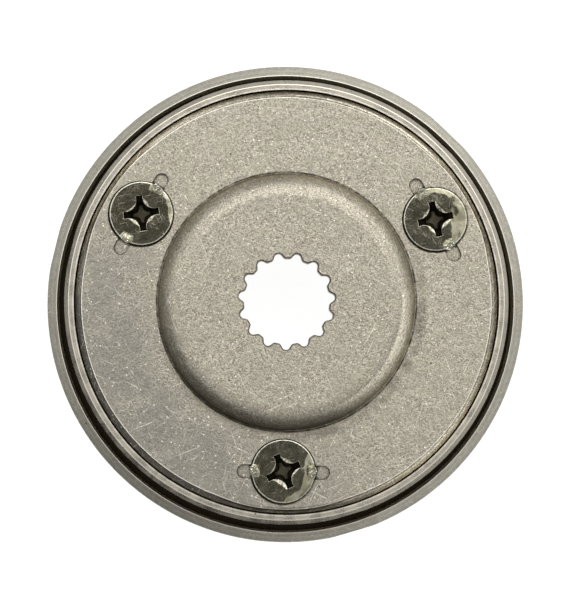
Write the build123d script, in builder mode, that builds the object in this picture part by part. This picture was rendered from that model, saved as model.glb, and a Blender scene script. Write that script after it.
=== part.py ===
from build123d import *
from math import asin, cos, degrees, hypot, radians, sin, sqrt, tan
import os

# Starter sprag clutch: a turned housing with a splined cover plate, and inside it a ring of
# sprags between two cages that locks the inner race to the housing in one direction only.
# Z is the clutch axis, z = 0 the rear face that the clutch rests on, +Z points out of the cover.
# Lengths are in millimetres. Angles are in degrees, counted from +X towards +Y.

# ---------------------------------------------------------------------- driving dimensions
# Races and the space of the sprag insert
inner_race_radius = 15.875
hub_bore_radius = 12.0
race_chamfer = 0.6
race_floor_gap = 0.3
sprag_space = 8.33
insert_width = 13.5
insert_end_play = 0.15

# Sprags
sprag_count = 14
sprag_length = 9.6
sprag_race_gap = 0.05
outer_cam_radius = 3.4
inner_cam_radius = 3.0
cam_offset = 0.45
outer_head_width = 5.2
inner_head_width = 4.6
waist_width = 2.8
head_corner = 0.3

# Cages
cage_wall = 0.7
cage_flange_thickness = 0.8
cage_flange_gap = 0.3
outer_cage_depth = 1.8
inner_cage_depth = 1.55
inner_cage_end_gap = 0.3
window_side_gap = 0.35
window_end_gap = 0.2
window_corner = 0.5

# Ribbon spring, one tongue for each sprag
ribbon_thickness = 0.2
ribbon_depth = 0.4
ribbon_end_gap = 0.6
ribbon_window_gap = 0.9
tongue_length = 5.0
tongue_rise = 1.3
tongue_gap = 0.55

# Drag clips, arched over the bars of the outer cage
drag_clip_count = 3
drag_clip_length = 8.0
drag_clip_width = 2.4
drag_clip_thickness = 0.3
drag_clip_gap = 0.15

# Retaining ring
rear_land = 1.0
ring_thickness = 1.2
ring_side_play = 0.1
ring_groove_depth = 1.1
ring_seat_gap = 0.1
ring_width = 2.4
ring_opening_angle = 90.0
ring_opening_width = 7.0
ring_lug_radius = 1.8
ring_lug_hole_radius = 0.8

# Cover screws, M6 countersunk with a cross recess
first_screw_angle = 30.0
screw_radius = 3.0
screw_length = 16.0
screw_head_radius = 5.65
screw_rim_height = 0.45
screw_rim_round = 0.2
screw_head_stand = 0.2
screw_tip_chamfer = 0.5
thread_gap = 0.02
cross_turns = (14.0, 9.0, 25.0)
cross_reach = 3.3
cross_wing_width = 1.25
cross_core_radius = 1.6
cross_depth = 2.8
cross_bottom_scale = 0.45

# Cover plate
plate_thickness = 4.0
plate_edge_chamfer = 0.82
plate_edge_round = 0.7
plate_rear_chamfer = 0.4
plate_to_head = 1.65
dome_to_head = 1.65
dome_height = 3.5
dome_draft = 19.0
dome_shoulder_round = 4.0
dome_foot_round = 0.5
dome_wall = 3.6
dome_cavity_round = 1.0
screw_hole_gap = 0.3
staking_slot_length = 16.5
staking_slot_width = 2.5
staking_slot_depth = 0.9

# Crankshaft spline, module 1 with a pressure angle of 30 degrees
spline_teeth = 15
spline_module = 1.0
spline_pressure_angle = 30.0
spline_space_width = 2.0
spline_tip_round = 0.6
spline_lead_in = 0.25

# Housing and outer sleeve
race_wall = 2.8
plate_gap = 0.24
rim_land = 0.95
rim_land_round = 0.25
rim_chamfer_width = 0.76
rim_chamfer_height = 0.6
flange_thickness = 2.5
outer_groove_width = 1.95
sleeve_wall = 2.0
sleeve_height = 7.0
sleeve_face_slope = 32.0
sleeve_lip_round = 0.2
sleeve_edge_round = 0.4
edge_break = 0.3
race_lead_in = 0.5
thread_mouth_chamfer = 0.5
flat_lead_angle = 17.5
rim_flat_depth = 0.12
rim_flat_height = 5.0
sleeve_flat_depth = 0.2

# ---------------------------------------------------------------------- derived dimensions
outer_race_radius = inner_race_radius + sprag_space
pivot_radius = inner_race_radius + sprag_space / 2
bolt_radius = outer_race_radius + race_wall + screw_radius
plate_radius = bolt_radius + screw_head_radius + plate_to_head
recess_radius = plate_radius + plate_gap
rim_land_radius = recess_radius + rim_land
housing_radius = rim_land_radius + rim_chamfer_width
flange_radius = housing_radius + outer_groove_width
sleeve_radius = flange_radius + sleeve_wall

ring_groove_width = ring_thickness + ring_side_play
insert_rear_z = rear_land + ring_groove_width + insert_end_play
insert_front_z = insert_rear_z + insert_width
insert_middle_z = (insert_rear_z + insert_front_z) / 2
seat_z = insert_front_z + insert_end_play
face_z = seat_z + plate_thickness
dome_z = face_z + dome_height

screw_count = len(cross_turns)
screw_angles = [first_screw_angle + 360 * i / screw_count for i in range(screw_count)]
flat_angles = [angle + flat_lead_angle for angle in screw_angles]
sprag_angles = [360 * i / sprag_count for i in range(sprag_count)]


def upright_plane(angle, distance, height):
    """Plane parallel to the axis, facing outwards at an angle, with y along the axis."""
    a = radians(angle)
    origin = (distance * cos(a), distance * sin(a), height)
    return Plane(origin=origin, x_dir=(-sin(a), cos(a), 0), z_dir=(cos(a), sin(a), 0))


def section_plane(angle, distance):
    """Plane through the axis, with x outwards from a distance and y along the axis."""
    a = radians(angle)
    origin = (distance * cos(a), distance * sin(a), 0)
    return Plane(origin=origin, x_dir=(cos(a), sin(a), 0), z_dir=(sin(a), -cos(a), 0))


def level_plane(angle, distance, height, turn=0):
    """Plane square to the axis, with y outwards, or turned from there."""
    a = radians(angle)
    t = radians(angle + turn)
    origin = (distance * cos(a), distance * sin(a), height)
    return Plane(origin=origin, x_dir=(sin(t), -cos(t), 0), z_dir=(0, 0, 1))


def save(part, label):
    """Name a finished sub-part and write its STEP file."""
    part.label = label
    export_step(part, f"parts/{label}.step")


os.makedirs("parts", exist_ok=True)

# ---------------------------------------------------------------------- clutch housing
# One turned body: the outer race in its bore, a recess for the cover plate, a rear flange.
with BuildPart() as clutch_housing:
    with BuildSketch(Plane.XZ) as housing_section:
        with BuildLine():
            Polyline(
                (outer_race_radius + race_lead_in, 0),
                (flange_radius - edge_break, 0),
                (flange_radius, edge_break),
                (flange_radius, flange_thickness),
                (housing_radius, flange_thickness),
                (housing_radius, face_z - rim_chamfer_height),
                (rim_land_radius, face_z),
                (recess_radius, face_z),
                (recess_radius, seat_z),
                (outer_race_radius, seat_z),
                (outer_race_radius, race_lead_in),
                close=True,
            )
        make_face()
        rim_corner = (rim_land_radius, face_z)
        fillet(housing_section.vertices().sort_by_distance(rim_corner)[0], rim_land_round)
    revolve(axis=Axis.Z)
    with BuildSketch(Plane.XY.offset(rear_land)):
        Circle(outer_race_radius + ring_groove_depth)
    extrude(amount=ring_groove_width, mode=Mode.SUBTRACT)
    with BuildSketch(Plane.XY):
        with PolarLocations(bolt_radius, screw_count, start_angle=first_screw_angle):
            Circle(screw_radius + thread_gap)
    extrude(amount=seat_z, mode=Mode.SUBTRACT)
    rear_face = faces().filter_by(Plane.XY).sort_by(Axis.Z)[0]
    thread_mouths = rear_face.edges().filter_by(lambda edge: edge.radius < 2 * screw_radius)
    chamfer(thread_mouths, thread_mouth_chamfer)
    for angle in flat_angles:
        with BuildSketch(upright_plane(angle, housing_radius - rim_flat_depth, face_z)):
            Rectangle(housing_radius, 2 * rim_flat_height)
        extrude(amount=outer_groove_width / 2, mode=Mode.SUBTRACT)
save(clutch_housing.part, "clutch_housing")

# ---------------------------------------------------------------------- outer sleeve
# A hoop pressed over the rear flange, which leaves an open groove round the housing. Its
# front face slopes outwards.
sleeve_edge_z = sleeve_height - sleeve_wall * tan(radians(sleeve_face_slope))

with BuildPart() as outer_sleeve:
    with BuildSketch(Plane.XZ) as sleeve_section:
        with BuildLine():
            Polyline(
                (flange_radius, 0),
                (sleeve_radius - edge_break, 0),
                (sleeve_radius, edge_break),
                (sleeve_radius, sleeve_edge_z),
                (flange_radius, sleeve_height),
                close=True,
            )
        make_face()
        rounds = (
            ((flange_radius, sleeve_height), sleeve_lip_round),
            ((sleeve_radius, sleeve_edge_z), sleeve_edge_round),
        )
        for corner, round_radius in rounds:
            fillet(sleeve_section.vertices().sort_by_distance(corner)[0], round_radius)
    revolve(axis=Axis.Z)
    for angle in flat_angles:
        with BuildSketch(upright_plane(angle, sleeve_radius - sleeve_flat_depth, 0)):
            Rectangle(sleeve_radius, 3 * sleeve_height)
        extrude(amount=sleeve_wall, mode=Mode.SUBTRACT)
save(outer_sleeve.part, "outer_sleeve")


# ---------------------------------------------------------------------- cover plate
# The tips of the teeth lie on the pitch circle. The flanks of a space close in to an apex,
# which one round cuts off at the major radius.
spline_tip_radius = spline_teeth * spline_module / 2
spline_major_radius = spline_tip_radius + spline_module
space_slope = radians(spline_pressure_angle)
space_apex = spline_tip_radius + spline_space_width / (2 * tan(space_slope))
space_start = spline_tip_radius - 0.1 * spline_module
root_round = (space_apex - spline_major_radius) * sin(space_slope) / (1 - sin(space_slope))

with BuildSketch() as spline_space:
    start_width = (space_apex - space_start) * tan(space_slope)
    with BuildLine():
        Polyline((space_start, start_width), (space_apex, 0), (space_start, -start_width), close=True)
    make_face()
    fillet(spline_space.vertices().sort_by(Axis.X)[-1], root_round)

dome_foot_radius = bolt_radius - screw_head_radius - dome_to_head
dome_run = dome_height * tan(radians(dome_draft))
cavity_radius = dome_foot_radius - dome_wall
cavity_z = dome_z - plate_thickness
countersink_radius = screw_head_radius + screw_rim_height - screw_head_stand

with BuildPart() as cover_plate:
    with BuildSketch(Plane.XZ) as plate_section:
        with BuildLine():
            Polyline(
                (0, cavity_z),
                (cavity_radius - dome_run, cavity_z),
                (cavity_radius, seat_z),
                (plate_radius - plate_rear_chamfer, seat_z),
                (plate_radius, seat_z + plate_rear_chamfer),
                (plate_radius, face_z - plate_edge_chamfer),
                (plate_radius - plate_edge_chamfer, face_z),
                (dome_foot_radius, face_z),
                (dome_foot_radius - dome_run, dome_z),
                (0, dome_z),
                close=True,
            )
        make_face()
        rounds = (
            ((cavity_radius - dome_run, cavity_z), dome_cavity_round),
            ((plate_radius - plate_edge_chamfer, face_z), plate_edge_round),
            ((dome_foot_radius, face_z), dome_foot_round),
            ((dome_foot_radius - dome_run, dome_z), dome_shoulder_round),
        )
        for corner, round_radius in rounds:
            fillet(plate_section.vertices().sort_by_distance(corner)[0], round_radius)
    revolve(axis=Axis.Z)
    with BuildSketch(Plane.XY.offset(cavity_z)) as spline_hole:
        Circle(spline_tip_radius)
        with PolarLocations(0, spline_teeth, start_angle=-90):
            add(spline_space.sketch)
        tips = spline_hole.vertices().filter_by(
            lambda v: hypot(v.X, v.Y) < spline_tip_radius + 0.1 * spline_module
        )
        fillet(tips, spline_tip_round)
    extrude(amount=plate_thickness, mode=Mode.SUBTRACT)
    dome_face = faces().filter_by(Plane.XY).sort_by(Axis.Z)[-1]
    chamfer(dome_face.inner_wires()[0].edges(), spline_lead_in)
    with BuildSketch(Plane.XY.offset(face_z)):
        with PolarLocations(bolt_radius, screw_count, start_angle=first_screw_angle):
            SlotOverall(staking_slot_length, staking_slot_width, rotation=90)
    extrude(amount=-staking_slot_depth, mode=Mode.SUBTRACT)
    with Locations((0, 0, face_z)):
        with PolarLocations(bolt_radius, screw_count, start_angle=first_screw_angle):
            CounterSinkHole(
                screw_radius + screw_hole_gap, countersink_radius, plate_thickness, 90
            )
save(cover_plate.part, "cover_plate")

# ---------------------------------------------------------------------- cover screws
head_z = face_z + screw_head_stand
head_cone_z = head_z - screw_rim_height
shank_top_z = head_cone_z - (screw_head_radius - screw_radius)
tip_z = head_z - screw_length

for number, (angle, turn) in enumerate(zip(screw_angles, cross_turns), 1):
    with BuildPart() as cover_screw:
        with BuildSketch(section_plane(angle, bolt_radius)) as screw_section:
            with BuildLine():
                Polyline(
                    (0, head_z),
                    (screw_head_radius, head_z),
                    (screw_head_radius, head_cone_z),
                    (screw_radius, shank_top_z),
                    (screw_radius, tip_z + screw_tip_chamfer),
                    (screw_radius - screw_tip_chamfer, tip_z),
                    (0, tip_z),
                    close=True,
                )
            make_face()
            rim = screw_section.vertices().sort_by_distance((screw_head_radius, head_z))[0]
            fillet(rim, screw_rim_round)
        screw_base = level_plane(angle, bolt_radius, 0)
        revolve(axis=Axis(screw_base.origin, screw_base.z_dir))
        for depth, scale in ((0, 1), (cross_depth, cross_bottom_scale)):
            wing = scale * cross_reach
            half = scale * cross_wing_width / 2
            core = scale * cross_core_radius / sqrt(2)
            with BuildSketch(level_plane(angle, bolt_radius, head_z - depth, turn - angle)):
                with BuildLine():
                    for quarter in range(4):
                        quarter_points = [
                            Vector(point).rotate(Axis.Z, 90 * quarter)
                            for point in ((wing, -half), (wing, half), (core, core), (half, wing))
                        ]
                        Line(*quarter_points[:2])
                        ThreePointArc(*quarter_points[1:])
                make_face()
        loft(mode=Mode.SUBTRACT)
    save(cover_screw.part, f"cover_screw_{number}")

# ---------------------------------------------------------------------- retaining ring
# A flat circlip that seats in the groove behind the insert, with a lug each side of its gap.
ring_outer_radius = outer_race_radius + ring_groove_depth - ring_seat_gap
ring_inner_radius = ring_outer_radius - ring_width
lug_angle = degrees(asin((ring_opening_width / 2 + ring_lug_radius) / ring_inner_radius))

with BuildPart() as retaining_ring:
    with BuildSketch(level_plane(ring_opening_angle, 0, rear_land)):
        Circle(ring_outer_radius)
        Circle(ring_inner_radius, mode=Mode.SUBTRACT)
        with Locations((0, ring_inner_radius)):
            Rectangle(ring_opening_width, 3 * ring_width, mode=Mode.SUBTRACT)
        with PolarLocations(ring_inner_radius, 2, 90 - lug_angle, 4 * lug_angle):
            Circle(ring_lug_radius)
            Circle(ring_lug_hole_radius, mode=Mode.SUBTRACT)
    extrude(amount=ring_thickness)
save(retaining_ring.part, "retaining_ring")

# ---------------------------------------------------------------------- inner race
with BuildPart() as inner_race:
    with BuildSketch(Plane.XZ) as race_section:
        with Locations((hub_bore_radius, race_floor_gap)):
            race_thickness = inner_race_radius - hub_bore_radius
            race_length = insert_front_z - race_floor_gap
            Rectangle(race_thickness, race_length, align=(Align.MIN, Align.MIN))
        chamfer(race_section.vertices(), race_chamfer)
    revolve(axis=Axis.Z)
save(inner_race.part, "inner_race")

# ---------------------------------------------------------------------- sprag cages
# Each cage is a thin drawn ring with one flange and a window for every sprag.
outer_cage_radius = outer_race_radius - outer_cage_depth
inner_cage_radius = inner_race_radius + inner_cage_depth + cage_wall
window_length = sprag_length + 2 * window_end_gap


def cut_windows(offset, width, reach, corner=0):
    """Cut the current ring at every sprag, from a sideways offset out to a radius."""
    for angle in sprag_angles:
        window_plane = upright_plane(angle, inner_race_radius, insert_middle_z)
        with BuildSketch(window_plane, mode=Mode.PRIVATE) as window:
            with Locations((-offset, 0)):
                Rectangle(width, window_length)
            if corner:
                fillet(window.vertices(), corner)
        extrude(window.sketch, amount=reach - inner_race_radius, mode=Mode.SUBTRACT)


with BuildPart() as outer_cage:
    with BuildSketch(Plane.XZ):
        with Locations((outer_cage_radius, insert_rear_z)):
            Rectangle(cage_wall, insert_width, align=(Align.MAX, Align.MIN))
        with Locations((outer_race_radius - cage_flange_gap, insert_rear_z)):
            flange_reach = outer_cage_depth + cage_wall - cage_flange_gap
            Rectangle(flange_reach, cage_flange_thickness, align=(Align.MAX, Align.MIN))
    revolve(axis=Axis.Z)
    outer_window_width = outer_head_width + 2 * window_side_gap
    cut_windows(cam_offset, outer_window_width, outer_race_radius, window_corner)
save(outer_cage.part, "outer_cage")

with BuildPart() as inner_cage:
    inner_cage_front_z = insert_front_z - inner_cage_end_gap
    with BuildSketch(Plane.XZ):
        with Locations((inner_cage_radius, inner_cage_front_z)):
            Rectangle(
                cage_wall, insert_width - 2 * inner_cage_end_gap, align=(Align.MAX, Align.MAX)
            )
        with Locations((inner_race_radius + cage_flange_gap, inner_cage_front_z)):
            flange_reach = inner_cage_depth + cage_wall - cage_flange_gap
            Rectangle(flange_reach, cage_flange_thickness, align=(Align.MIN, Align.MAX))
    revolve(axis=Axis.Z)
    cut_windows(-cam_offset, inner_head_width + 2 * window_side_gap, pivot_radius)
save(inner_cage.part, "inner_cage")

# ---------------------------------------------------------------------- ribbon spring
# A thin band round the waists of the sprags, with a sprung tongue that leans on each one.
ribbon_radius = pivot_radius - ribbon_depth
ribbon_window_width = waist_width + 2 * ribbon_window_gap
tongue_root_x = ribbon_window_width / 2 + ribbon_thickness
tongue_root_y = sqrt((ribbon_radius + ribbon_thickness / 2) ** 2 - tongue_root_x**2) - pivot_radius
tongue_tip = (waist_width / 2 + tongue_gap, tongue_root_y + tongue_rise)

with BuildPart() as ribbon_spring:
    with BuildSketch(Plane.XY.offset(insert_rear_z + ribbon_end_gap)):
        Circle(ribbon_radius + ribbon_thickness)
        Circle(ribbon_radius, mode=Mode.SUBTRACT)
    extrude(amount=insert_width - 2 * ribbon_end_gap)
    cut_windows(0, ribbon_window_width, pivot_radius + ribbon_thickness)
    for angle in sprag_angles:
        tongue_z = insert_middle_z - tongue_length / 2
        with BuildSketch(level_plane(angle, pivot_radius, tongue_z)):
            with BuildLine():
                Line((tongue_root_x, tongue_root_y), tongue_tip)
            trace(line_width=ribbon_thickness)
        extrude(amount=tongue_length)
save(ribbon_spring.part, "ribbon_spring")

# ---------------------------------------------------------------------- drag clips
# Each arched strip stands on a bar of the outer cage and rubs along the outer race.
clip_places = [round(i * sprag_count / drag_clip_count) + 0.5 for i in range(drag_clip_count)]

for number, place in enumerate(clip_places, 1):
    half_length = drag_clip_length / 2
    crown = outer_race_radius - drag_clip_gap
    foot = outer_cage_radius - cage_wall / 2
    with BuildPart() as drag_clip:
        with BuildSketch(section_plane(360 * place / sprag_count, 0)):
            with BuildLine():
                outer_arc = ThreePointArc(
                    (foot, insert_middle_z - half_length),
                    (crown, insert_middle_z),
                    (foot, insert_middle_z + half_length),
                )
                inner_arc = ThreePointArc(
                    (foot, insert_middle_z - half_length + 2 * drag_clip_thickness),
                    (crown - drag_clip_thickness, insert_middle_z),
                    (foot, insert_middle_z + half_length - 2 * drag_clip_thickness),
                )
                Line(outer_arc @ 0, inner_arc @ 0)
                Line(outer_arc @ 1, inner_arc @ 1)
            make_face()
        extrude(amount=drag_clip_width / 2, both=True)
        with Locations((0, 0, insert_middle_z)):
            Cylinder(outer_cage_radius, insert_width, mode=Mode.SUBTRACT)
    save(drag_clip.part, f"drag_clip_{number}")

# ---------------------------------------------------------------------- sprags
# The two cam faces are arcs about centres set to either side of the sprag's radial line, so
# the sprag grows taller between the races as it turns one way and shorter the other way.
outer_cam_reach = outer_race_radius - sprag_race_gap - outer_cam_radius
inner_cam_reach = inner_race_radius + sprag_race_gap + inner_cam_radius
outer_cam_y = sqrt(outer_cam_reach**2 - cam_offset**2) - pivot_radius
inner_cam_y = sqrt(inner_cam_reach**2 - cam_offset**2) - pivot_radius
outer_head_y = outer_cam_y + sqrt(outer_cam_radius**2 - (outer_head_width / 2) ** 2)
inner_head_y = inner_cam_y - sqrt(inner_cam_radius**2 - (inner_head_width / 2) ** 2)

for number, angle in enumerate(sprag_angles, 1):
    with BuildPart() as sprag:
        with BuildSketch(level_plane(angle, pivot_radius, insert_middle_z - sprag_length / 2)) as profile:
            with BuildLine():
                outer_cam = ThreePointArc(
                    (cam_offset - outer_head_width / 2, outer_head_y),
                    (cam_offset, outer_cam_y + outer_cam_radius),
                    (cam_offset + outer_head_width / 2, outer_head_y),
                )
                inner_cam = ThreePointArc(
                    (-cam_offset - inner_head_width / 2, inner_head_y),
                    (-cam_offset, inner_cam_y - inner_cam_radius),
                    (-cam_offset + inner_head_width / 2, inner_head_y),
                )
                ThreePointArc(outer_cam @ 0, (-waist_width / 2, 0), inner_cam @ 0)
                ThreePointArc(outer_cam @ 1, (waist_width / 2, 0), inner_cam @ 1)
            make_face()
            fillet(profile.vertices(), head_corner)
        extrude(amount=sprag_length)
    save(sprag.part, f"sprag_{number:02d}")
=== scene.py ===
import random
from math import atan2, cos, hypot, pi, radians, sin, sqrt, tan

import bpy
from mathutils import Matrix, Vector, noise


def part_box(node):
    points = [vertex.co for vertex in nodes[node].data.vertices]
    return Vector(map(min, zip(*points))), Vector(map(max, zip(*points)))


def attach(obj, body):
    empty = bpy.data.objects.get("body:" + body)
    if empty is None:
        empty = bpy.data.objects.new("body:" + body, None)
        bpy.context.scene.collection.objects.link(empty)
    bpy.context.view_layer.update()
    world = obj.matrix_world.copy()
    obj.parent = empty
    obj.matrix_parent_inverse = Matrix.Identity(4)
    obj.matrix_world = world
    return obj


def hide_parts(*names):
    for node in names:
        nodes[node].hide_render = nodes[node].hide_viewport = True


# Looks of a sprag clutch that lies on a white table with its cover up, seen from above.
# Lengths are in metres unless a name ends in _mm, and textures are laid out in millimetres.
# Azimuths are in degrees, anticlockwise from X as seen from above.
MM = 0.001

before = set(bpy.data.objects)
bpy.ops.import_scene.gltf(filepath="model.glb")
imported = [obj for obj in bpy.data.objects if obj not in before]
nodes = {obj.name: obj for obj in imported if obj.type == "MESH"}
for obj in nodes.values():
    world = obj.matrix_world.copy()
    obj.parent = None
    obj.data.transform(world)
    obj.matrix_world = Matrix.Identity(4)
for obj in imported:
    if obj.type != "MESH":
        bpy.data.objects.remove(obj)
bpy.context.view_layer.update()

# Sizes of the solids that no box gives.
plate_gap_mm = 0.24
plate_roll_mm = 1.1
rim_land_mm = 0.95
rim_chamfer_mm = 0.76
wall_drop_mm = 0.65
flange_top_mm = 2.5
head_to_foot_mm = 1.65

plate_low, plate_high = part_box("cover_plate")
plate_low_mm = plate_low.z / MM
plate_edge_mm = plate_high.x / MM
roll_start_mm = plate_edge_mm - plate_roll_mm
rim_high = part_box("clutch_housing")[1]
rim_top_mm = rim_high.z / MM
flange_edge_mm = rim_high.x / MM
recess_mm = plate_edge_mm + plate_gap_mm
land_edge_mm = recess_mm + rim_land_mm
housing_mm = land_edge_mm + rim_chamfer_mm

screw_names = ["cover_screw_1", "cover_screw_2", "cover_screw_3"]
screw_low, screw_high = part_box("cover_screw_3")
screw_axis_mm = abs(screw_low.y + screw_high.y) / 2 / MM
head_radius_mm = (screw_high.x - screw_low.x) / 2 / MM
dome_foot_mm = screw_axis_mm - head_radius_mm - head_to_foot_mm
sprag_names = [name for name in nodes if name.startswith("sprag_")]
clip_names = [name for name in nodes if name.startswith("drag_clip_")]


# ---------------------------------------------------------------------- node graphs
class Graph:
    """A node tree written as calls. An input takes a socket, a number or a tuple."""

    def __init__(self, tree):
        self.tree = tree
        tree.nodes.clear()

    def add(self, kind, inputs=None, **settings):
        node = self.tree.nodes.new(kind)
        for name, value in settings.items():
            setattr(node, name, value)
        for key, value in (inputs or {}).items():
            self.put(node.inputs[key], value)
        return node

    def put(self, socket, value):
        if isinstance(value, bpy.types.NodeSocket):
            self.tree.links.new(value, socket)
        else:
            socket.default_value = value

    def math(self, operation, *values):
        node = self.add("ShaderNodeMath", operation=operation)
        for socket, value in zip(node.inputs, values):
            self.put(socket, value)
        return node.outputs[0]

    def total(self, first, *others):
        for other in others:
            first = self.math("ADD", first, other)
        return first

    def product(self, first, *others):
        for other in others:
            first = self.math("MULTIPLY", first, other)
        return first

    def ramp(self, value, low, high, start=0.0, end=1.0):
        inputs = {"Value": value, "From Min": low, "From Max": high, "To Min": start, "To Max": end}
        node = self.add("ShaderNodeMapRange", inputs, interpolation_type="SMOOTHSTEP")
        return node.outputs[0]

    def noise(self, place, size, detail=2.0, roughness=0.5):
        """Noise with features of about this size, from 0 to 1."""
        inputs = {"Vector": place, "Scale": 1 / size, "Detail": detail, "Roughness": roughness}
        return self.add("ShaderNodeTexNoise", inputs).outputs[0]

    def thrice(self, cosine):
        """Cosine of three times the angle that has this cosine."""
        return self.math("SUBTRACT", self.product(cosine, cosine, cosine, 4.0), self.product(cosine, 3.0))

    def mix(self, share, first, second, blend="MIX"):
        inputs = {0: share, 6: first, 7: second}
        return self.add("ShaderNodeMix", inputs, data_type="RGBA", blend_type=blend).outputs[2]

    def coats(self, colour, *coats):
        """Coats of (share, colour) over a first colour, with the last on top."""
        for share, coat in coats:
            colour = self.mix(share, colour, coat)
        return colour

    def steps(self, value, stops):
        """Grey levels that blend from one (place, level) stop to the next."""
        node = self.add("ShaderNodeValToRGB", {0: value})
        elements = node.color_ramp.elements
        while len(elements) < len(stops):
            elements.new(1.0)
        for element, (place, level) in zip(elements, stops):
            element.position = place
            element.color = (level, level, level, 1)
        return node.outputs[0]

    def bump(self, height, depth_mm, normal=None):
        """Normal of a relief, whose height runs from 0 to 1 over this depth."""
        inputs = {"Height": height, "Distance": depth_mm * MM, "Strength": 1.0}
        if normal is not None:
            inputs["Normal"] = normal
        return self.add("ShaderNodeBump", inputs).outputs[0]


class Surface(Graph):
    """A metal's node tree, with places on the piece in millimetres."""

    def __init__(self, name):
        self.material = bpy.data.materials.new(name)
        self.material.use_nodes = True
        super().__init__(self.material.node_tree)
        scaled = {0: self.add("ShaderNodeTexCoord").outputs["Object"], 3: 1 / MM}
        self.place = self.add("ShaderNodeVectorMath", scaled, operation="SCALE").outputs[0]
        parts = self.add("ShaderNodeSeparateXYZ", {0: self.place}).outputs
        self.x, self.y, self.z = parts[0], parts[1], parts[2]
        squares = self.total(self.product(self.x, self.x), self.product(self.y, self.y))
        self.radius = self.math("SQRT", squares)

    def stretched(self, angle, across, along, shift=0.0):
        """The place turned about Z, with sizes across and along scaled to one."""
        node = self.add("ShaderNodeMapping", {0: self.place}, vector_type="TEXTURE")
        node.inputs["Rotation"].default_value = (0, 0, radians(angle))
        node.inputs["Location"].default_value = (shift, 2 * shift, 0)
        node.inputs["Scale"].default_value = (along, across, along)
        return node.outputs[0]

    def scratches(self, angles, across, along, rarity):
        """Fine straight lines in a few directions, 1 on a line."""
        lines = None
        for index, angle in enumerate(angles):
            layer = self.noise(self.stretched(angle, across, along, 3.7 * index), 1.0, 1.0)
            line = self.ramp(layer, rarity, rarity + 0.05)
            lines = line if lines is None else self.math("MAXIMUM", lines, line)
        return lines

    def pits(self, spacing, size, share):
        """Scattered dots, 1 in a dot."""
        node = self.add("ShaderNodeTexVoronoi", {"Vector": self.place, "Scale": 1 / spacing})
        dot = self.ramp(node.outputs["Distance"], size * 0.6 / spacing, size / spacing, 1.0, 0.0)
        chosen = self.add("ShaderNodeSeparateColor", {0: node.outputs["Color"]}).outputs[0]
        return self.product(dot, self.math("LESS_THAN", chosen, share))

    def turning(self, pitch):
        """Lines that a lathe leaves round the axis, from 0 to 1."""
        place = self.add("ShaderNodeCombineXYZ", {0: self.radius, 1: self.z}).outputs[0]
        return self.noise(place, pitch, 1.0)

    def band(self, start, end, soft=0.04, length=None):
        """A zone between two lengths, 1 inside. The length is the radius if none is given."""
        length = length or self.radius
        begun = self.ramp(length, start - soft, start)
        return self.product(begun, self.ramp(length, end, end + soft, 1.0, 0.0))

    def facing(self, azimuth):
        """Cosine of the angle round the axis from this azimuth."""
        east, north = cos(radians(azimuth)), sin(radians(azimuth))
        side = self.total(self.product(self.x, east), self.product(self.y, north))
        return self.math("DIVIDE", side, self.math("MAXIMUM", self.radius, 1.0))

    def toward(self, azimuth, low, high, start=0.0, end=1.0):
        """A share that grows toward this azimuth, as the cosine of the angle from it goes low to high."""
        return self.ramp(self.facing(azimuth), low, high, start, end)

    def occlusion_shade(self, reach, deep=0.35, clear=0.85):
        """Painted shade in corners, from ambient occlusion: 1 deep in a corner."""
        node = self.add("ShaderNodeAmbientOcclusion", {"Distance": reach * MM}, samples=8)
        return self.ramp(node.outputs["AO"], deep, clear, 1.0, 0.0)

    def finish(self, colour, roughness, normal):
        """The metal itself, once its surface is worked out."""
        inputs = {"Base Color": colour, "Metallic": 1.0, "Roughness": roughness, "Normal": normal}
        shader = self.add("ShaderNodeBsdfPrincipled", inputs)
        self.add("ShaderNodeOutputMaterial", {0: shader.outputs[0]})
        return self.material


# ---------------------------------------------------------------------- metals
# Colours of painted shade in corners, of painted shade in gaps, of real pits, and of painted highlights on
# edges.
shade_dark = (0.025, 0.02, 0.012, 1)
gap_shade_black = (0.012, 0.009, 0.005, 1)
pit_black = (0.05, 0.045, 0.035, 1)
highlight_bright = (0.85, 0.80, 0.70, 1)


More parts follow.
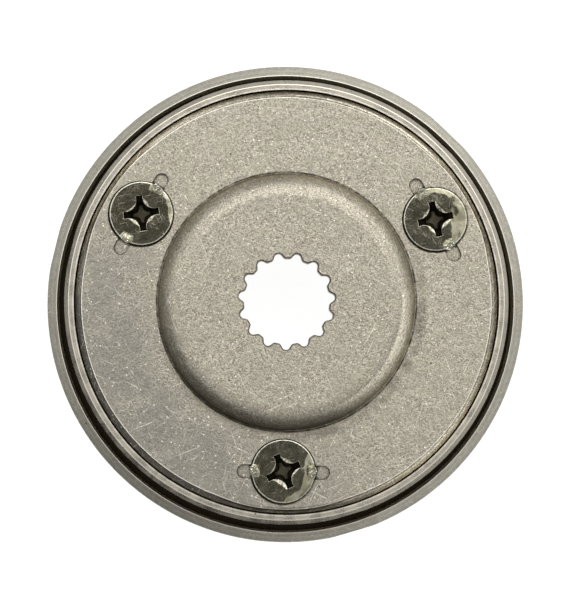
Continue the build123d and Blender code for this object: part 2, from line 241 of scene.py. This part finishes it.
def tumbled_steel():
    """Cover plate: stamped steel, tumbled to a fine speckle, scratched and pitted, with painted shade on one
    side and in its hollows, and painted highlights.
    """
    s = Surface("tumbled_steel")
    grain = s.noise(s.place, 0.27, 2.0, 0.75)
    clumps = s.noise(s.place, 0.9, 2.0, 0.6)
    waves = s.noise(s.place, 5.0, 3.0)
    tint = s.noise(s.stretched(40, 2.2, 3.0, 50), 1.0, 2.0)
    lines = s.scratches((8, 31, 52, 74, 97, 118, 139, 163), 0.20, 3.0, 0.69)
    gashes = s.scratches((24, 66, 112, 155), 0.36, 7.0, 0.71)
    pits = s.pits(2.1, 0.19, 0.35)
    glints = s.pits(0.8, 0.17, 0.35)

    # Painted shade darkens the corners, except near the plate's edge.
    inside = s.ramp(s.radius, plate_edge_mm - 2.5, plate_edge_mm - 1.8, 1.0, 0.0)
    corner_shade = s.product(s.occlusion_shade(0.8, 0.35, 0.8), inside)

    # The rolled edge is narrower beside the three screws, has a painted highlight on its crest, and gets
    # painted highlights at four places.
    beside_screw = s.ramp(s.thrice(s.facing(270)), 0.5, 1.0, 0.0, 0.4)
    reach = s.math("SUBTRACT", s.radius, beside_screw)
    edge = s.ramp(reach, roll_start_mm - 0.05, roll_start_mm + 0.05)
    crest = s.band(roll_start_mm - 0.1, roll_start_mm + 0.05, 0.04, reach)
    corners = s.product(s.facing(0), s.facing(90), 2.0)
    rolled = s.product(edge, corners, corners, s.toward(45, -0.8, -0.1, 0.0, 0.95))

    # Painted shade darkens one side of the plate and of its rolled edge, away from the light.
    side_shade = s.product(s.toward(222, -0.1, 0.95), s.ramp(s.radius, 21, 29))
    side_shade = s.product(side_shade, s.ramp(waves, 0.25, 0.6, 0.5, 1.0), 0.6)
    side_shade = s.total(side_shade, s.product(edge, s.toward(235, 0.2, 0.8, 0.0, 0.5)))

    # The dome has a broken line of painted shade at its foot, painted shade on its flank away from the light,
    # a darker ring outside its foot toward azimuth -40, and painted highlights on its flank.
    broken = s.ramp(s.noise(s.place, 1.3, 2.0), 0.35, 0.6, 0.6, 1.0)
    foot_shade = s.product(s.band(dome_foot_mm + 0.15, dome_foot_mm + 0.3, 0.14), broken)
    flank_shade = s.band(dome_foot_mm - 1.1, dome_foot_mm + 0.1, 1.6)
    flank_shade = s.product(flank_shade, s.toward(262, 0.22, 0.95, 0.06, 0.70))
    dark_ring = s.band(dome_foot_mm + 0.6, dome_foot_mm + 1.6, 1.0)
    dark_ring = s.product(dark_ring, s.toward(-40, 0.2, 0.9, 0.0, 0.45))
    dark_ring = s.product(dark_ring, s.ramp(s.noise(s.place, 3.0, 2.0), 0.35, 0.6, 0.2, 1.0))
    flank_highlight = s.total(
        s.toward(-28, 0.72, 0.97, 0.0, 1.0),
        s.toward(45, 0.6, 0.9, 0.0, 0.25),
        s.toward(142, 0.7, 0.95, 0.0, 0.15),
    )
    flank_highlight = s.product(flank_highlight, s.band(dome_foot_mm - 2.2, dome_foot_mm - 0.2, 0.4))

    colour = s.coats(
        s.mix(s.ramp(grain, 0.32, 0.68), (0.166, 0.147, 0.113, 1), (0.572, 0.525, 0.432, 1)),
        (s.ramp(clumps, 0.42, 0.70, 0.0, 0.32), (0.27, 0.245, 0.195, 1)),
        (s.ramp(waves, 0.35, 0.70, 0.0, 0.30), (0.33, 0.305, 0.25, 1)),
        (s.ramp(tint, 0.45, 0.65, 0.0, 0.35), (0.36, 0.345, 0.255, 1)),
        (side_shade, (0.165, 0.16, 0.145, 1)),
        (s.product(lines, 0.45), (0.72, 0.67, 0.56, 1)),
        (s.product(gashes, 0.45), (0.78, 0.73, 0.62, 1)),
        (s.product(glints, 0.7), (0.90, 0.85, 0.75, 1)),
        (s.product(pits, 0.75), pit_black),
        (s.product(crest, 0.8), highlight_bright),
    )
    # Painted highlights brighten the dome's flank and the rolled edge at four places.
    colour = s.mix(s.math("MAXIMUM", flank_highlight, rolled), colour, (2.1, 2.1, 2.1, 1), "MULTIPLY")
    # Painted shade over the dome's flank and foot and in the corners, and the darker ring outside the foot.
    colour = s.coats(
        colour,
        (s.math("MAXIMUM", s.product(flank_shade, 0.8), dark_ring), (0.06, 0.052, 0.038, 1)),
        (s.product(foot_shade, 0.95), shade_dark),
        (s.product(corner_shade, 0.9), shade_dark),
    )
    roughness = s.total(s.ramp(grain, 0.3, 0.7, 0.40, 0.30), s.product(corner_shade, 0.2))

    # Height across the rolled edge: it drops from the crest and evens out.
    roll = s.math("MAXIMUM", s.math("SUBTRACT", reach, roll_start_mm), 0.0)
    start = s.math("MINIMUM", roll, 0.45)
    rest = s.math("SUBTRACT", roll, start)
    shape = s.total(s.product(start, -0.70), s.product(start, start, 1.05), s.product(rest, 0.25))
    marks = s.total(s.product(lines, -0.5), s.product(gashes, -0.6), s.product(pits, -1.0))
    normal = s.bump(shape, 1.0)
    normal = s.bump(waves, 0.10, normal)
    normal = s.bump(s.total(grain, clumps), 0.055, normal)
    normal = s.bump(marks, 0.04, normal)
    return s.finish(colour, roughness, normal)


def turned_steel(name, dark, light, roughness, pitch, depth, scaled=None, worn=(), gap=None):
    """Turned steel with lathe lines round the axis, of this pitch and depth in millimetres.

    Scaled is a zone painted in its own colour and roughness, as (inner radius, outer radius, low z, high z,
    colour, roughness). Worn lists the radii of edges with painted highlights. Gap is a wall painted near
    black as shade in a gap, as (radius, low z, high z).
    """
    s = Surface(name)
    lines = s.turning(pitch)
    cloud = s.noise(s.place, 2.5, 3.0)
    grain = s.noise(s.place, 0.30, 2.0, 0.75)
    scrapes = s.scratches((20, 65, 110, 155), 0.3, 2.5, 0.70)
    nicks = s.pits(2.6, 0.22, 0.35)
    glints = s.pits(1.1, 0.17, 0.35)
    # Painted shade darkens the corners.
    corner_shade = s.occlusion_shade(0.8, 0.15, 0.5)
    # Painted highlights on the edges at the worn radii.
    edge_highlights = [(s.product(s.band(radius - 0.08, radius + 0.08), 0.55), highlight_bright) for radius in worn]
    colour = s.coats(
        s.mix(s.total(s.ramp(lines, 0.3, 0.7, 0, 0.5), s.ramp(grain, 0.3, 0.7, 0, 0.5)), dark, light),
        (s.ramp(cloud, 0.4, 0.7, 0.0, 0.35), dark),
        (s.product(scrapes, 0.5), (0.66, 0.62, 0.53, 1)),
        (s.product(glints, 0.55), (0.80, 0.76, 0.66, 1)),
        *edge_highlights,
        (s.product(nicks, 0.7), pit_black),
        (s.product(corner_shade, 0.75), shade_dark),
    )
    rough = s.ramp(cloud, 0.3, 0.7, roughness - 0.05, roughness + 0.07)
    rough = s.total(rough, s.product(corner_shade, 0.2))
    # Painted shade: the gap's wall is painted near black.
    if gap:
        radius, low, high = gap
        inside = s.product(s.band(radius - 1.0, radius), s.band(low, high - 0.3, 0.3, s.z))
        colour = s.mix(inside, colour, gap_shade_black)
    # The zone is painted its own colour: painted shade in the housing's groove, painted light on the sleeve's
    # shaded inner wall.
    if scaled:
        start, end, low, high, scale, scale_roughness = scaled
        heights = s.product(s.ramp(s.z, low - 0.3, low), s.ramp(s.z, high, high + 0.05, 1.0, 0.0))
        zone = s.product(s.band(start, end, 0.03), heights)
        colour = s.mix(zone, colour, scale)
        rough = s.math("MAXIMUM", rough, s.product(zone, scale_roughness))
    normal = s.bump(lines, depth)
    normal = s.bump(s.total(grain, s.product(cloud, 2.0)), depth * 3, normal)
    return s.finish(colour, rough, normal)


def passivated_steel():
    """Screws: olive passivated steel, glossy and uneven, bare or crushed where the mesh says, with painted
    glints on the crushed dents and painted shade in the cross.
    """
    s = Surface("passivated_steel")
    cloud = s.noise(s.place, 1.6, 3.0)
    grain = s.noise(s.place, 0.35, 2.0)
    lines = s.scratches((12, 49, 83, 121, 158), 0.10, 3.0, 0.73)
    crumple = s.noise(s.place, 0.45, 2.0)
    # Painted glints on the crushed dents.
    crush_glints = s.ramp(s.noise(s.place, 0.32, 1.0), 0.57, 0.64)
    rubbed = s.add("ShaderNodeAttribute", attribute_name="rubbed").outputs["Fac"]
    crushed = s.add("ShaderNodeAttribute", attribute_name="crushed").outputs["Fac"]
    bare = s.ramp(s.total(rubbed, s.ramp(grain, 0.2, 0.8, -0.35, 0.35)), 0.35, 0.65)
    # Painted shade darkens the cross recess and the hollows.
    recess_shade = s.occlusion_shade(4.0, 0.35, 0.75)
    colour = s.coats(
        s.mix(s.ramp(cloud, 0.35, 0.65), (0.20, 0.188, 0.125, 1), (0.31, 0.295, 0.215, 1)),
        (s.product(lines, 0.3), (0.55, 0.53, 0.43, 1)),
        (bare, (0.60, 0.57, 0.48, 1)),
        (s.product(crushed, 0.55), (0.10, 0.095, 0.06, 1)),
        (s.product(crushed, crush_glints), (0.92, 0.90, 0.80, 1)),
        (s.product(recess_shade, 0.95), shade_dark),
    )
    rough = s.total(s.ramp(grain, 0.3, 0.7, 0.07, 0.17), s.product(recess_shade, 0.4))
    normal = s.bump(cloud, 0.03)
    normal = s.bump(s.total(grain, s.product(lines, -0.4)), 0.007, normal)
    normal = s.bump(s.product(crushed, crumple), 0.40, normal)
    return s.finish(colour, rough, normal)


def strip_steel(name, dark, light, roughness):
    """Drawn strip for cages, clips, springs and sprags, smooth and slightly stained, with painted shade in
    the corners.
    """
    s = Surface(name)
    cloud = s.noise(s.place, 1.8, 4.0, 0.6)
    grain = s.noise(s.place, 0.25, 2.0)
    colour = s.mix(s.ramp(cloud, 0.35, 0.65), dark, light)
    # Painted shade darkens the corners.
    colour = s.mix(s.product(s.occlusion_shade(0.6), 0.6), colour, (0.03, 0.025, 0.018, 1))
    rough = s.ramp(cloud, 0.3, 0.7, roughness - 0.06, roughness + 0.08)
    return s.finish(colour, rough, s.bump(grain, 0.008))


def dress(material, *names):
    """Gives CAD nodes a material and even shading."""
    for name in names:
        nodes[name].modifiers.new("even_shading", "WEIGHTED_NORMAL").keep_sharp = True
        for slot in nodes[name].material_slots:
            slot.material = material


# Painted shade: the deep groove round the housing is painted near black.
groove_shade_black = (0.035, 0.028, 0.016, 1)
dress(tumbled_steel(), "cover_plate")
dress(
    turned_steel(
        "housing_steel",
        dark=(0.38, 0.35, 0.285, 1),
        light=(0.60, 0.555, 0.465, 1),
        roughness=0.27,
        pitch=0.18,
        depth=0.006,
        # Painted shade in the groove and on the gap's wall, and painted highlights on the worn radii.
        scaled=(housing_mm - 0.3, flange_edge_mm, flange_top_mm, rim_top_mm - wall_drop_mm, groove_shade_black, 0.5),
        worn=(recess_mm + 0.15, land_edge_mm),
        gap=(recess_mm, plate_low_mm - 0.2, rim_top_mm - 0.7),
    ),
    "clutch_housing",
)
dress(
    turned_steel("race_steel", (0.42, 0.41, 0.38, 1), (0.66, 0.65, 0.62, 1), 0.22, 0.12, 0.004),
    "inner_race",
)
dress(strip_steel("sprag_steel", (0.52, 0.51, 0.48, 1), (0.66, 0.65, 0.62, 1), 0.2), *sprag_names)
dress(
    strip_steel("cage_steel", (0.34, 0.32, 0.28, 1), (0.48, 0.46, 0.42, 1), 0.38),
    "outer_cage",
    "inner_cage",
)
dress(
    strip_steel("spring_steel", (0.22, 0.21, 0.19, 1), (0.36, 0.34, 0.31, 1), 0.3),
    "ribbon_spring",
    "retaining_ring",
    *clip_names,
)


# ---------------------------------------------------------------------- meshes
def ring_faces(rows, columns, closed=False):
    """Faces between neighbouring rows of points. The columns run round, and closed rows do too."""
    faces = []
    for row in range(rows if closed else rows - 1):
        here, there = row * columns, (row + 1) % rows * columns
        for i in range(columns):
            j = (i + 1) % columns
            faces.append((here + i, here + j, there + j, there + i))
    return faces


def mesh_object(name, vertices, faces, material, crease=None):
    """A new object, smooth except where its faces meet at more than the crease in degrees."""
    mesh = bpy.data.meshes.new(name)
    mesh.from_pydata(vertices, [], faces)
    mesh.materials.append(material)
    if crease is not None:
        mesh.shade_smooth()
        mesh.set_sharp_from_angle(angle=radians(crease))
    piece = bpy.data.objects.new(name, mesh)
    bpy.context.scene.collection.objects.link(piece)
    return piece


# ---------------------------------------------------------------------- staked screws
# For each screw: turn of its cross, wear of the cross's four lobes, bent sides as (azimuth, start_mm).
screw_marks = (
    (14, (0.9, 0.5, 0.45, 0.7), ((75, 4.4), (-5, 2.8))),
    (9, (0.6, 0.5, 0.55, 0.5), ((20, 4.6),)),
    (25, (0.7, 0.2, 1.05, 0.4), ((-48, 4.2), (-8, 3.5))),
)
# The heads sit a little off the middle of their countersinks.
head_shift_mm = (0.04, 0.14)
# Unevenness of a head and of its dents, as (depth_mm, size_mm, seed).
head_waves = ((0.05, 2.8, 0), (0.010, 0.9, 5))
dent_waves = ((0.16, 0.6, 9), (0.10, 0.25, 2))
dent_depth_mm = 0.04
sag_mm = 0.04
bend = 0.15
wing_reach_mm = 3.15
wing_width_mm = 1.35
core_radius_mm = 1.65
cross_depth_mm = 2.7
cross_taper = 0.52
lobe_wear_mm = 0.8
rim_height_mm = 0.45
rim_round_mm = 0.2
shank_radius_mm = 3.0
tip_chamfer_mm = 0.5
dent_start_mm = 4.0
dent_full_mm = 5.4
dent_half_width_mm = 0.65
dent_side_mm = 0.5


def cross_outline(rng, wears):
    """Mouth of the cross recess as (x, y, inward x, inward y, wear, drop), quarter by quarter."""
    half = wing_width_mm / 2
    core = core_radius_mm / sqrt(2)
    centre = (wing_reach_mm**2 + half**2 - 2 * core**2) / (2 * (wing_reach_mm + half) - 4 * core)
    radius = sqrt(2) * (centre - core)
    start = atan2(half - centre, wing_reach_mm - centre)
    sweep = -2 * (start + 3 * pi / 4)
    tip_steps, lobe_steps = 8, 40
    outline = []
    for quarter, wear in enumerate(wears):
        turn = quarter * pi / 2
        slope = rng.uniform(0.12, 0.3)
        middle = rng.uniform(0.42, 0.66)
        spread = rng.uniform(0.22, 0.34) + 0.2 * wear**3
        points = [(wing_reach_mm, half * (2 * i / tip_steps - 1), 1, 0, 0.04) for i in range(tip_steps)]
        for i in range(lobe_steps):
            angle = start + sweep * i / lobe_steps
            near = max(0.0, 1 - abs(i / lobe_steps - middle) / spread)
            worn = 0.04 + wear * sin(pi / 2 * near) ** 1.3
            x, y = cos(angle), sin(angle)
            points.append((centre + radius * x, centre + radius * y, -x, -y, worn))
        for x, y, inward_x, inward_y, worn in points:
            outline.append(
                (
                    x * cos(turn) - y * sin(turn),
                    x * sin(turn) + y * cos(turn),
                    inward_x * cos(turn) - inward_y * sin(turn),
                    inward_x * sin(turn) + inward_y * cos(turn),
                    lobe_wear_mm * worn,
                    lobe_wear_mm * worn * slope,
                )
            )
    return outline


def ripple(x, y, size, seed):
    """Smooth unevenness from -1 to 1."""
    return noise.noise(Vector((x / size, y / size, 7.3 * seed)))


def relief(x, y, waves, seed):
    """Height of several kinds of unevenness together."""
    return sum(depth * ripple(x, y, size, seed + own) for depth, size, own in waves)


def smooth(value, low, high):
    """Goes softly from 0 at low to 1 at high."""
    share = min(1.0, max(0.0, (value - low) / (high - low)))
    return share * share * (3 - 2 * share)


def screw_rows(outline, head_radius, tip, neck):
    """Rows of points from the tip, over the head and down into the cross, each with how bare it is."""

    def on_circle(radius, height):
        return [(radius * x / hypot(x, y), radius * y / hypot(x, y), height) for x, y, *_ in outline]

    rows = [
        (on_circle(0.3, tip), 0),
        (on_circle(shank_radius_mm - tip_chamfer_mm, tip), 0),
        (on_circle(shank_radius_mm, tip + tip_chamfer_mm), 0),
        (on_circle(shank_radius_mm, neck), 0),
        (on_circle(head_radius, -rim_height_mm), 0),
    ]
    for step in range(6):
        angle = step * pi / 10
        radius = head_radius - rim_round_mm * (1 - cos(angle))
        rows.append((on_circle(radius, rim_round_mm * (sin(angle) - 1)), 0.25 + 0.1 * step))
    flat = on_circle(head_radius - rim_round_mm, 0)
    mouth = [(x + w * u, y + w * v, 0) for x, y, u, v, w, _ in outline]
    flat_steps, lobe_steps, wall_steps = 26, 3, 8
    for step in range(1, flat_steps + 1):
        share = step / flat_steps
        row = [tuple(a + (b - a) * share for a, b in zip(p, q)) for p, q in zip(flat, mouth)]
        rows.append((row, 0.15 * smooth(share, 0.12, 0.0)))
    for step in range(1, lobe_steps + 1):
        share = step / lobe_steps
        left = 1 - share
        row = [(x + w * u * left, y + w * v * left, -drop * share) for x, y, u, v, w, drop in outline]
        rows.append((row, 0.5))
    for step in range(1, wall_steps + 1):
        share = step / wall_steps
        left = 1 - share
        scale = 1 - cross_taper * share
        row = [(x * scale, y * scale, -drop * left - cross_depth_mm * share) for x, y, *_, drop in outline]
        rows.append((row, 0))
    return rows


def battered(point, bare, number, radial, head_radius, bent_sides):
    """A point of the head after its use, with how bare and how crushed it is.

    The head is uneven, bent down at some sides, and punched into the plate's slots at both ends.
    """
    x, y, z = point
    reach = hypot(x, y)
    if z <= -rim_height_mm - 0.01 or reach <= core_radius_mm:
        return x, y, z, bare, 0.0
    along = abs(y * radial.x - x * radial.y)
    across = abs(x * radial.x + y * radial.y)
    dent = smooth(along, dent_start_mm, dent_full_mm)
    dent *= smooth(across, dent_half_width_mm + dent_side_mm, dent_half_width_mm)
    z += relief(x, y, head_waves, number)
    z -= sag_mm * smooth(reach, 3.4, head_radius + 1.0)
    for azimuth, start in bent_sides:
        side = x * cos(radians(azimuth)) + y * sin(radians(azimuth))
        side += 0.8 * ripple(x, y, 1.3, number + azimuth)
        z -= bend * max(0.0, side - start) / (head_radius - start) * min(1.5, head_radius - start)
    z -= dent * (dent_depth_mm + relief(x, y, dent_waves, number))
    push = 1 + 0.05 * dent * (1 + ripple(x, y, 0.5, number + 3))
    return x * push, y * push, z, max(bare, 0.1 * dent), dent


def staked_screw(number, name, turn, wears, bent_sides):
    """Countersunk screw whose rim is punched down into the plate's slots at both ends."""
    low, high = (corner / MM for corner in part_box(name))
    middle = (low + high) / 2
    head_radius = (high.x - low.x) / 2
    neck = shank_radius_mm - head_radius - rim_height_mm
    radial = Vector((middle.x, middle.y)).normalized()
    spin = radians(turn)
    outline = cross_outline(random.Random(number), wears)
    rows = screw_rows(outline, head_radius, low.z - high.z, neck)
    vertices, rubbed, crushed = [], [], []
    for row, wear in rows:
        for x, y, z in row:
            point = (x * cos(spin) - y * sin(spin), x * sin(spin) + y * cos(spin), z)
            x, y, z, bare, crush = battered(point, wear, number, radial, head_radius, bent_sides)
            if z > neck:
                x += head_shift_mm[0]
                y += head_shift_mm[1]
            vertices.append(((x + middle.x) * MM, (y + middle.y) * MM, (z + high.z) * MM))
            rubbed.append(bare)
            crushed.append(crush)
    count = len(outline)
    last = (len(rows) - 1) * count
    faces = ring_faces(len(rows), count)
    faces.append(tuple(reversed(range(count))))
    faces.append(tuple(range(last, last + count)))
    screw = mesh_object(f"staked_screw_{number}", vertices, faces, screw_material, crease=40)
    screw.data.attributes.new("rubbed", "FLOAT", "POINT").data.foreach_set("value", rubbed)
    screw.data.attributes.new("crushed", "FLOAT", "POINT").data.foreach_set("value", crushed)
    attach(screw, "housing")
    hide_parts(name)


screw_material = passivated_steel()
for number, (name, marks) in enumerate(zip(screw_names, screw_marks), 1):
    staked_screw(number, name, *marks)


# ---------------------------------------------------------------------- outer sleeve
# The flats are given by their azimuths.
sleeve_wall_mm = 2.0
sleeve_slope = radians(32)
sleeve_lip_mm = 0.2
sleeve_edge_mm = 0.4
sleeve_foot_mm = 0.3
sleeve_flat_mm = 0.2
sleeve_flats = (47.5, 167.5, 287.5)


def rounded(before, corner, after, radius, steps=8):
    """Points of a corner that is rounded off between two straight sides."""
    corner = Vector(corner)
    to_before = (Vector(before) - corner).normalized()
    to_after = (Vector(after) - corner).normalized()
    half = to_before.angle(to_after) / 2
    centre = corner + (to_before + to_after).normalized() * radius / sin(half)
    first = corner + to_before * radius / tan(half) - centre
    last = corner + to_after * radius / tan(half) - centre
    return [centre + first.slerp(last, step / steps).normalized() * radius for step in range(steps + 1)]


def turned_sleeve():
    """The outer sleeve as a finely divided ring, so that its lip and its slope shade evenly."""
    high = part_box("outer_sleeve")[1] / MM
    outer, inner = high.x, high.x - sleeve_wall_mm
    top = high.z + sleeve_lip_mm * (tan(sleeve_slope) + 1 / cos(sleeve_slope) - 1)
    lip = (inner, top)
    edge = (outer, top - sleeve_wall_mm * tan(sleeve_slope))
    section = [(inner, 0), (inner, top / 2)]
    section += rounded((inner, 0), lip, edge, sleeve_lip_mm)
    section += rounded(lip, edge, (outer, 0), sleeve_edge_mm)
    section += [(outer, sleeve_foot_mm), (outer - sleeve_foot_mm, 0)]
    steps = 480
    vertices = []
    for step in range(steps):
        angle = 2 * pi * step / steps
        for radius, z in section:
            x, y = radius * cos(angle), radius * sin(angle)
            for flat in sleeve_flats:
                out = Vector((cos(radians(flat)), sin(radians(flat))))
                over = max(0.0, x * out.x + y * out.y - (outer - sleeve_flat_mm))
                x, y = x - over * out.x, y - over * out.y
            vertices.append((x * MM, y * MM, z * MM))
    material = turned_steel(
        "sleeve_steel",
        dark=(0.32, 0.305, 0.25, 1),
        light=(0.60, 0.57, 0.49, 1),
        roughness=0.30,
        pitch=0.14,
        depth=0.004,
        # Painted light on the shaded inner wall, and a painted highlight on the lip at the worn radius.
        scaled=(inner - 0.1, inner + 0.02, 0, top, (0.68, 0.60, 0.42, 1), 0.8),
        worn=(inner + 0.2,),
    )
    faces = ring_faces(steps, len(section), closed=True)
    sleeve = mesh_object("turned_sleeve", vertices, faces, material, crease=35)
    sleeve.modifiers.new("even_shading", "WEIGHTED_NORMAL").keep_sharp = True
    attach(sleeve, "housing")
    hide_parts("outer_sleeve")


turned_sleeve()


# ---------------------------------------------------------------------- studio and camera
def make_floor():
    """White table top that keeps the object's shadow and lets views from below through."""
    material = bpy.data.materials.new("floor_white")
    material.use_nodes = True
    g = Graph(material.node_tree)
    rays = g.add("ShaderNodeLightPath").outputs
    seen = g.total(rays["Is Camera Ray"], rays["Is Glossy Ray"], rays["Is Transmission Ray"])
    paint = g.add("ShaderNodeBsdfDiffuse", {"Color": (0.3, 0.3, 0.3, 1)}).outputs[0]
    white = {"Color": (1, 1, 1, 1), "Strength": g.product(seen, 0.93)}
    glow = g.add("ShaderNodeEmission", white).outputs[0]
    top = g.add("ShaderNodeAddShader", {0: paint, 1: glow}).outputs[0]
    clear = g.add("ShaderNodeBsdfTransparent").outputs[0]
    below = g.add("ShaderNodeNewGeometry").outputs["Backfacing"]
    shader = g.add("ShaderNodeMixShader", {0: below, 1: top, 2: clear}).outputs[0]
    g.add("ShaderNodeOutputMaterial", {0: shader})

    half = 4.0
    corners = [(-half, -half, 0), (half, -half, 0), (half, half, 0), (-half, half, 0)]
    floor = mesh_object("floor", corners, [(0, 1, 2, 3)], material)
    floor.location.z = -0.02 * MM


def make_world():
    """Soft studio room, brighter on one side and towards the top, with a dark hatch straight above."""
    world = bpy.data.worlds.new("studio")
    bpy.context.scene.world = world
    world.use_nodes = True
    g = Graph(world.node_tree)
    direction = g.add("ShaderNodeTexCoord").outputs["Generated"]
    height = g.add("ShaderNodeSeparateXYZ", {0: direction}).outputs[2]

    def lean(azimuth):
        side = (cos(radians(azimuth)), sin(radians(azimuth)), 0)
        node = g.add("ShaderNodeVectorMath", {0: direction, 1: side}, operation="DOT_PRODUCT")
        return node.outputs["Value"]

    # Side is the cosine of the angle round the room from its bright side, which turns with the height.
    # The lists give levels of light by height, which is the sine of the elevation.
    level_squared = g.math("SUBTRACT", 1.0, g.product(height, height))
    level = g.math("SQRT", g.math("MAXIMUM", level_squared, 0.0001))
    high = g.ramp(height, 0.45, 0.72)
    low = g.math("SUBTRACT", 1.0, high)
    tilt = g.total(g.product(high, lean(92)), g.product(low, lean(54)))
    side = g.math("DIVIDE", tilt, level)
    mean = g.steps(height, ((0, 0.10), (0.24, 0.22), (0.44, 0.54), (0.72, 0.59), (0.88, 0.74)))
    swing = g.steps(height, ((0, 0.10), (0.24, 0.22), (0.44, 0.19), (0.72, 0.42), (0.88, 0.24)))
    panels = g.steps(height, ((0.24, 0.06), (0.44, 0.17), (0.72, 0.0), (0.88, 0.06)))
    panels = g.math("SUBTRACT", panels, 0.06)
    room = g.total(mean, g.product(swing, side), g.product(panels, g.thrice(side)))
    grey = g.add("ShaderNodeCombineColor", {0: room, 1: room, 2: room}).outputs[0]
    hatch = g.ramp(height, cos(radians(12)), cos(radians(8)))
    grey = g.mix(hatch, grey, (0.11, 0.11, 0.11, 1))

    # The camera sees plain white behind the object.
    seen = g.add("ShaderNodeLightPath").outputs["Is Camera Ray"]
    light = {"Color": g.mix(seen, grey, (1, 1, 1, 1)), "Strength": g.total(g.product(seen, -0.85), 1.85)}
    shader = g.add("ShaderNodeBackground", light).outputs[0]
    g.add("ShaderNodeOutputWorld", {0: shader})


def make_lamp(name, direction, distance, size, radiance):
    """Square soft box that shines at the object, with the radiance that a mirror would show."""
    lamp = bpy.data.lights.new(name, "AREA")
    lamp.size = size
    lamp.energy = radiance * pi * size**2
    holder = bpy.data.objects.new(name, lamp)
    towards = Vector(direction).normalized()
    holder.location = towards * distance
    holder.rotation_euler = towards.to_track_quat("Z", "Y").to_euler()
    bpy.context.scene.collection.objects.link(holder)


def make_camera():
    """Long lens nearly straight above the cover, a little to the front left of the axis."""
    distance = 0.5
    target = Vector((-0.64 * MM, 0.32 * MM, rim_high.z))
    back = Vector((-0.0127, -0.0275, 1.0)).normalized()
    roll = radians(1.1)
    right = Vector((-sin(roll), cos(roll), 0)).cross(back).normalized()
    up = back.cross(right)
    lens = bpy.data.cameras.new("camera")
    lens.lens = 170
    lens.sensor_width = 36
    lens.clip_start = 0.01
    lens.clip_end = 20
    camera = bpy.data.objects.new("camera", lens)
    turned = Matrix((right, up, back)).transposed().to_4x4()
    camera.matrix_world = Matrix.Translation(target + back * distance) @ turned
    bpy.context.scene.collection.objects.link(camera)
    bpy.context.scene.camera = camera


make_floor()
make_world()
make_lamp("key", (0.29, 0.957, 1.5), 1.0, 0.7, 0.9)
make_camera()
bpy.context.scene.view_settings.view_transform = "Standard"
